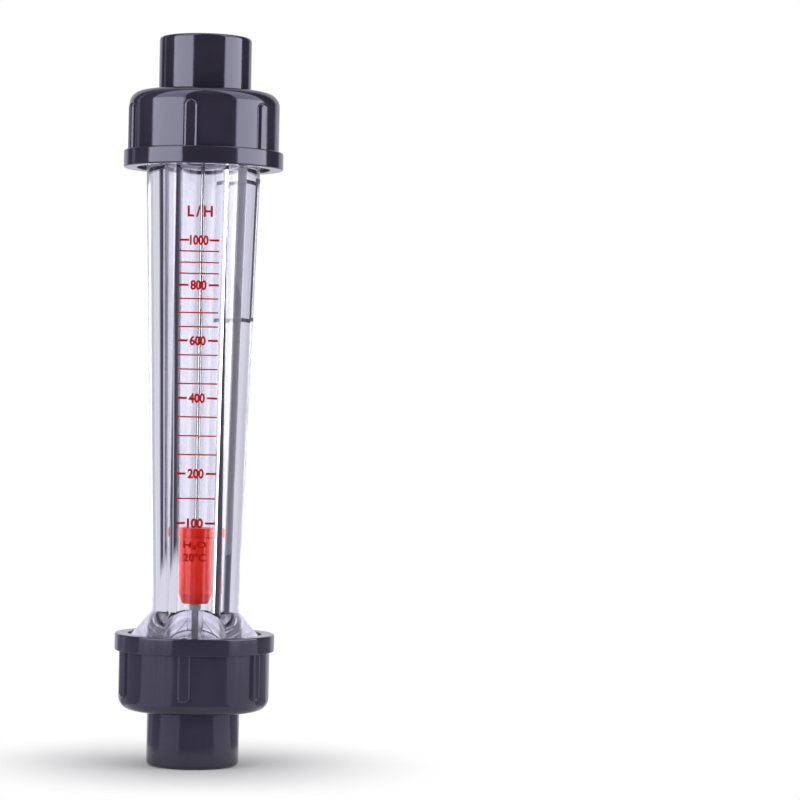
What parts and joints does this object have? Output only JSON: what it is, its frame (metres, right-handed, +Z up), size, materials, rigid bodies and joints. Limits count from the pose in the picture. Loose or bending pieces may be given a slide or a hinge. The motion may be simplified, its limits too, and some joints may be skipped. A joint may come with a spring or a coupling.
{
  "type": "tube flow meter",
  "caption": "Inline variable area flow meter with a clear tapered tube, a float on a guide rod and a union nut with a pipe socket at each end.",
  "frame": {"origin": "middle of the lower pipe socket's end face, which the part stands on", "axes": "+Z up along the flow and the guide rod, -Y out of the scale's flat face, +X to the right of a reader of the scale"},
  "size_m": [0.045, 0.045, 0.205],
  "materials": {
    "clear_plastic": "clear polished",
    "grey_plastic": "moulded semi-gloss",
    "seal_rubber": "matte",
    "pale_plastic": "translucent satin",
    "bumper_plastic": "translucent satin",
    "red_plastic": "moulded gloss",
    "steel": "drawn"
  },
  "bodies": {
    "tube": {"measuring_tube": "clear_plastic", "upper_guide": "pale_plastic", "lower_guide": "pale_plastic", "guide_rod": "steel", "upper_bumper": "bumper_plastic", "lower_bumper": "bumper_plastic"},
    "float": {"float_body": "red_plastic", "float_cap": "red_plastic", "float_core": "steel"},
    "upper_tail": {"upper_tail": "grey_plastic", "upper_seal": "seal_rubber"},
    "lower_tail": {"lower_tail": "grey_plastic", "lower_seal": "seal_rubber"},
    "upper_nut": {"upper_nut": "grey_plastic"},
    "lower_nut": {"lower_nut": "grey_plastic"}
  },
  "joints": [
    {"name": "float_slide", "type": "slide", "parent": "tube", "child": "float", "axis": [0, 0, 1], "range_m": [0, 0.1038]},
    {"name": "upper_tail_lift", "type": "slide", "parent": "tube", "child": "upper_tail", "axis": [0, 0, 1], "range_m": [0, 0.0091]},
    {"name": "lower_tail_drop", "type": "slide", "parent": "tube", "child": "lower_tail", "axis": [0, 0, -1], "range_m": [0, 0.0091]},
    {"name": "upper_nut_turn", "type": "hinge", "parent": "upper_tail", "child": "upper_nut", "pos_m": [0, 0, 0.18], "axis": [0, 0, 1], "range_deg": [0, 1080]},
    {"name": "lower_nut_turn", "type": "hinge", "parent": "lower_tail", "child": "lower_nut", "pos_m": [0, 0, 0.025], "axis": [0, 0, -1], "range_deg": [0, 1080]}
  ],
  "couplings": [
    {"joint": "upper_tail_lift", "follows": "upper_nut_turn", "m_per_rad": 0.00047746},
    {"joint": "lower_tail_drop", "follows": "lower_nut_turn", "m_per_rad": 0.00047746}
  ]
}
